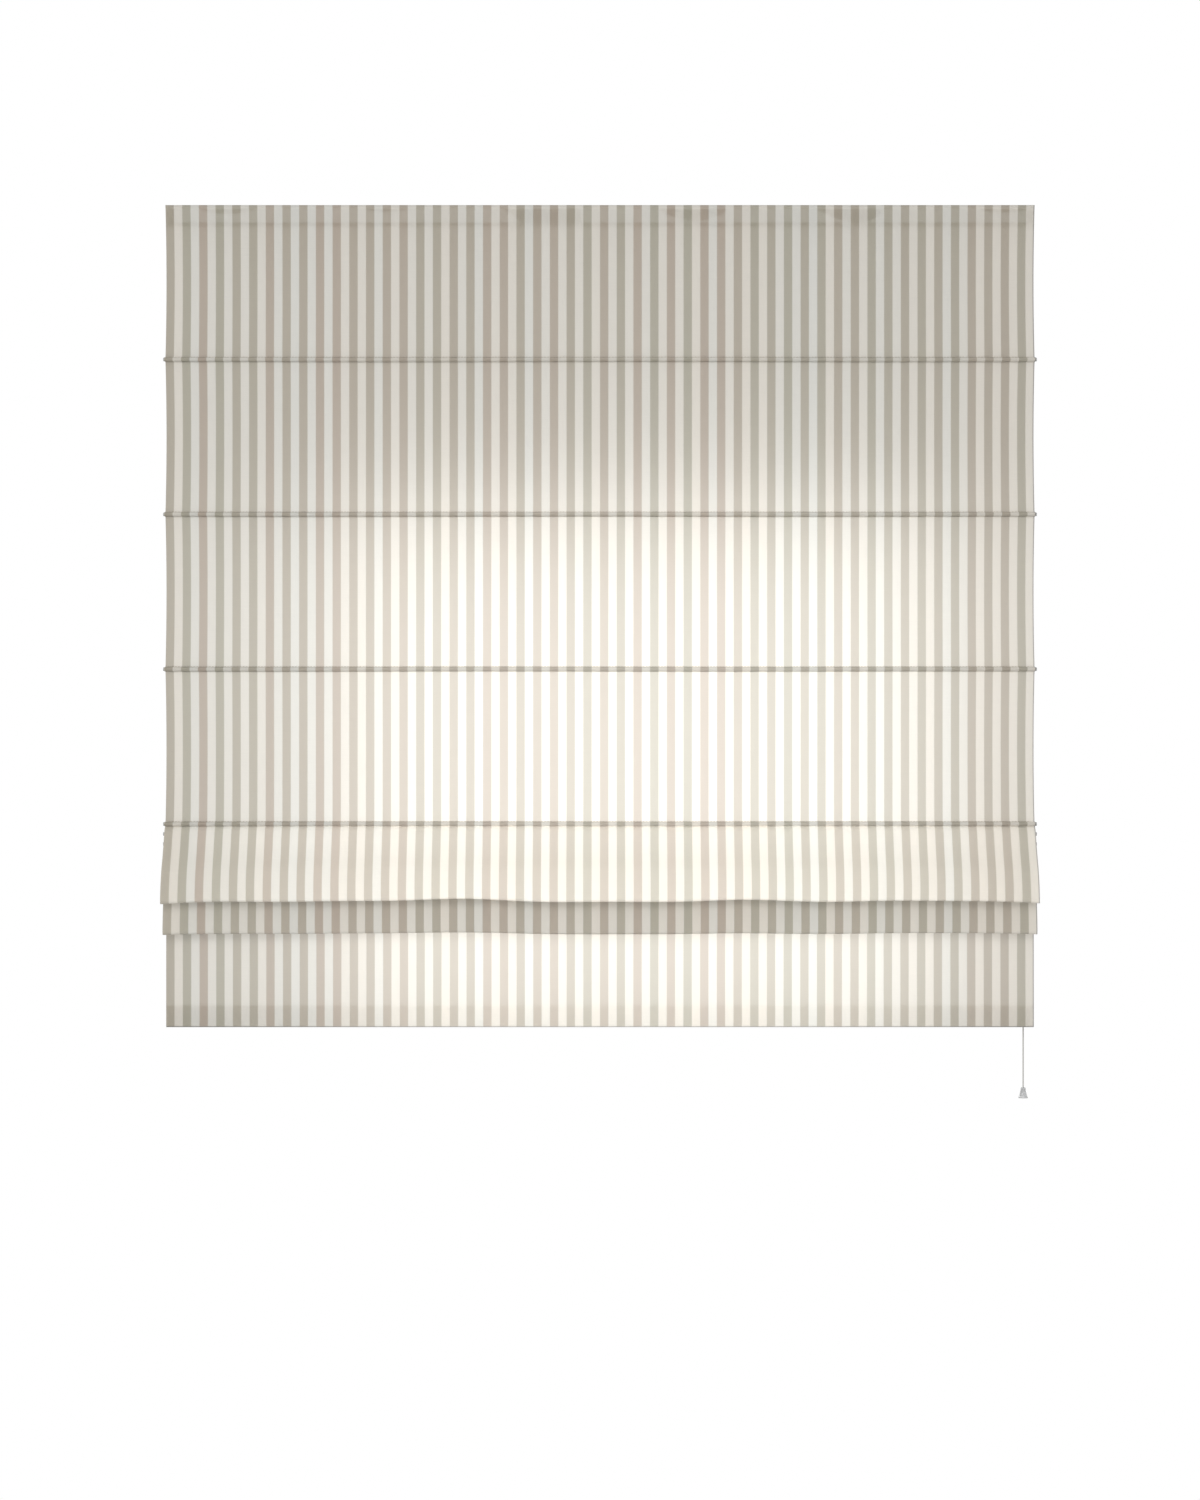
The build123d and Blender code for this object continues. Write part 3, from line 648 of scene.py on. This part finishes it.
slant = [[(TAIL_X, lane, RUN_Z - BEND), (TAIL_X, lane, RUN_Z), (TAIL_X - 2 * BEND, lane, RUN_Z),
          (x + 2 * BEND, lane, RUN_Z), (x, lane, RUN_Z), (x, lane, RUN_Z - BEND)]
         for x, lane in zip(CORD_XS, LANES)]
runs = cord_piece("lift_cord_runs", slant)
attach(runs, "frame")
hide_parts("lift_cord_1", "lift_cord_2", "lift_cord_3", "lift_cord_4")
first_z = RODS[0][1]
falls = [[(x, lane, RUN_Z - BEND), (x, lane, -14 * MM), (x, lane, -24 * MM),
          (x, lane - 1.6 * MM, -34 * MM), (x, RING_Y + 1.6 * MM, first_z + 14 * MM),
          (x, RING_Y, first_z + 4 * MM), (x, RING_Y, first_z)]
         for x, lane in zip(CORD_XS, LANES)]
top = cord_piece("lift_cord_falls", falls)
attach(top, "frame")
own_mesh(top)
for k in (1, 2, 3):
    upper, lower = RODS[k - 1][1], RODS[k][1]
    span = cord_piece(f"lift_cord_span_{k}", plumb(upper, lower))
    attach(span, f"row_{k}")
    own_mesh(span)
span = cord_piece("lift_cord_span_4", plumb(z4, z5))
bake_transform(span)
span = cord_piece("lift_cord_span_5", plumb(z5, z6))
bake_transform(span)
bead_foot = float(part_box("cord_beads")[0][2])
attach(cord_piece("lift_cord_ends", plumb(z6, bead_foot)), "hem")
knots = cord_piece("lift_cord_knots", plumb(bead_foot + 0.6 * MM, bead_foot - 0.4 * MM), KNOT_R)
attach(knots, "hem")

# ---- cord tails, draw cord and pull -------------------------------------------------------------
for k, lane in enumerate(LANES, start=1):
    path = straight((TAIL_X, lane, TAIL_TOP), (TAIL_X, lane, TAIL_FOOT))
    tail = cord_piece(f"cord_tail_{k}_braid", [path])
    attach(tail, "cord_run")
    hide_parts(f"cord_tail_{k}")
    route(path)
    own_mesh(tail)
stubs = cord_piece("cord_stubs", [straight((TAIL_X, lane, RUN_Z - BEND), (TAIL_X, lane, TAIL_TOP))
                                  for lane in LANES])
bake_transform(stubs)

joiner_low = float(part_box("cord_joiner")[0][2])
knot_high = float(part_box("pull_knot")[1][2])
# heights of the route points, closer together at the two ends
marks = [joiner_low, joiner_low - 0.012, joiner_low - 0.03, -0.93, -1.25, knot_high + 0.02,
         knot_high]
curve = nurbs("draw_cord_braid", [(TAIL_X, LANE_Y, z) for z in marks])
curve.bevel_depth = DRAW_R
curve.bevel_resolution = 3
curve.use_fill_caps = True
draw = bpy.data.objects.new("draw_cord_braid", curve)
bpy.context.scene.collection.objects.link(draw)
dress(draw, CORD)
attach(draw, "pull")
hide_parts("draw_cord")

# ---- floor, light and camera --------------------------------------------------------------------
FLOOR_R, FLOOR_Y, FLOOR_Z = 1.2, -0.3, -2.25
angles = np.linspace(0, 2 * math.pi, 96, endpoint=False)
floor = new_object("floor", [(FLOOR_R * math.cos(a), FLOOR_Y + FLOOR_R * math.sin(a), FLOOR_Z)
                             for a in angles], [list(range(len(angles)))], smooth=False)
floor_material = Nodes("pale_floor")
grain = floor_material.noise(floor_material.add("ShaderNodeTexCoord").outputs["Object"], 6.0)
floor_material.link(floor_material.mix(grain, (0.90, 0.90, 0.895), (0.94, 0.94, 0.935)),
                    floor_material.shader.inputs["Base Color"])
floor_material.shader.inputs["Roughness"].default_value = 0.9
floor.data.materials.append(floor_material.material)

world = bpy.data.worlds.new("studio")
bpy.context.scene.world = world
world.use_nodes = True
tree = world.node_tree
ambient = tree.nodes["Background"]
ambient.inputs["Color"].default_value = (1.0, 0.995, 0.985, 1.0)
ambient.inputs["Strength"].default_value = 0.65
backdrop = tree.nodes.new("ShaderNodeBackground")
backdrop.inputs["Color"].default_value = (1.0, 1.0, 1.0, 1.0)
backdrop.inputs["Strength"].default_value = 1.0
seen = tree.nodes.new("ShaderNodeLightPath")
blend_world = tree.nodes.new("ShaderNodeMixShader")
tree.links.new(seen.outputs["Is Camera Ray"], blend_world.inputs[0])
tree.links.new(ambient.outputs[0], blend_world.inputs[1])
tree.links.new(backdrop.outputs[0], blend_world.inputs[2])
tree.links.new(blend_world.outputs[0], tree.nodes["World Output"].inputs["Surface"])


def area_light(name, place, aim, size, power, colour=(1.0, 1.0, 1.0)):
    """A rectangular light that the camera doesn't see."""
    data = bpy.data.lights.new(name, "AREA")
    data.shape = "RECTANGLE"
    data.size, data.size_y = size
    data.energy = power
    data.color = colour
    lamp = bpy.data.objects.new(name, data)
    bpy.context.scene.collection.objects.link(lamp)
    lamp.location = place
    way = Vector(aim) - Vector(place)
    lamp.rotation_euler = way.to_track_quat("-Z", "Y").to_euler()
    lamp.visible_camera = False
    return lamp


# the window behind the blind: each front layer of cloth glows by itself, whatever lies behind it
GLOW = (1.0, 0.985, 0.95)
WINDOW = (0.06, -0.85), (0.86, 0.83)  # an opening's middle in x and z, then its width and height
REVEAL = (0.02, -0.84), (1.30, 0.78)
ROOM = (0.0, -0.84), (2.4, 0.9)
meshes = [piece for piece in bpy.data.objects if piece.type == "MESH"]


def window_light(name, opening, y, power, receivers):
    """An area light that falls on the receivers alone and shines past every other piece."""
    (x, z), size = opening
    lamp = area_light(name, (x, y, z), (x, -1.0, z), size, power, GLOW)  # aimed at the room
    lit = bpy.data.collections.new(f"{name}_lights")
    for piece in receivers:
        lit.objects.link(piece)
    lamp.light_linking.receiver_collection = lit
    passed = bpy.data.collections.new(f"{name}_passes")
    for piece in meshes:
        passed.objects.link(piece)
    for entry in passed.collection_objects:
        entry.light_linking.link_state = "EXCLUDE"
    lamp.light_linking.blocker_collection = passed


area_light("key", (-0.5, -3.1, 0.35), (0, -0.08, -0.6), (2.6, 1.6), 34.0)
flat_front = [piece for piece in meshes
              if piece.name.startswith("cloth_bay_") or piece.name == "cloth_panel"]
tucks = [piece for piece in meshes if piece.name.startswith("tuck_")]
fold_front = [bpy.data.objects["fold_a_front"]]
low_front = [bpy.data.objects["fold_b_front"]]
window_light("window_glow", WINDOW, 0.05, 1.28, flat_front)
window_light("reveal_glow", REVEAL, 0.06, 0.86, flat_front)
window_light("tuck_glow", WINDOW, 0.10, 0.70, tucks)
window_light("fold_window_glow", WINDOW, 0.07, 0.72, fold_front)
window_light("fold_reveal_glow", REVEAL, 0.08, 1.75, fold_front)
window_light("low_fold_glow", ROOM, 0.09, 1.35, low_front)

camera_data = bpy.data.cameras.new("camera")
camera_data.sensor_fit = "VERTICAL"
camera_data.sensor_height = 36.0
camera_data.lens = 69.8
camera = bpy.data.objects.new("camera", camera_data)
bpy.context.scene.collection.objects.link(camera)
camera.location = (0.0, -4.43, -0.796)
camera.rotation_euler = (math.radians(90), 0, 0)
bpy.context.scene.camera = camera
bpy.context.scene.view_settings.view_transform = "Standard"
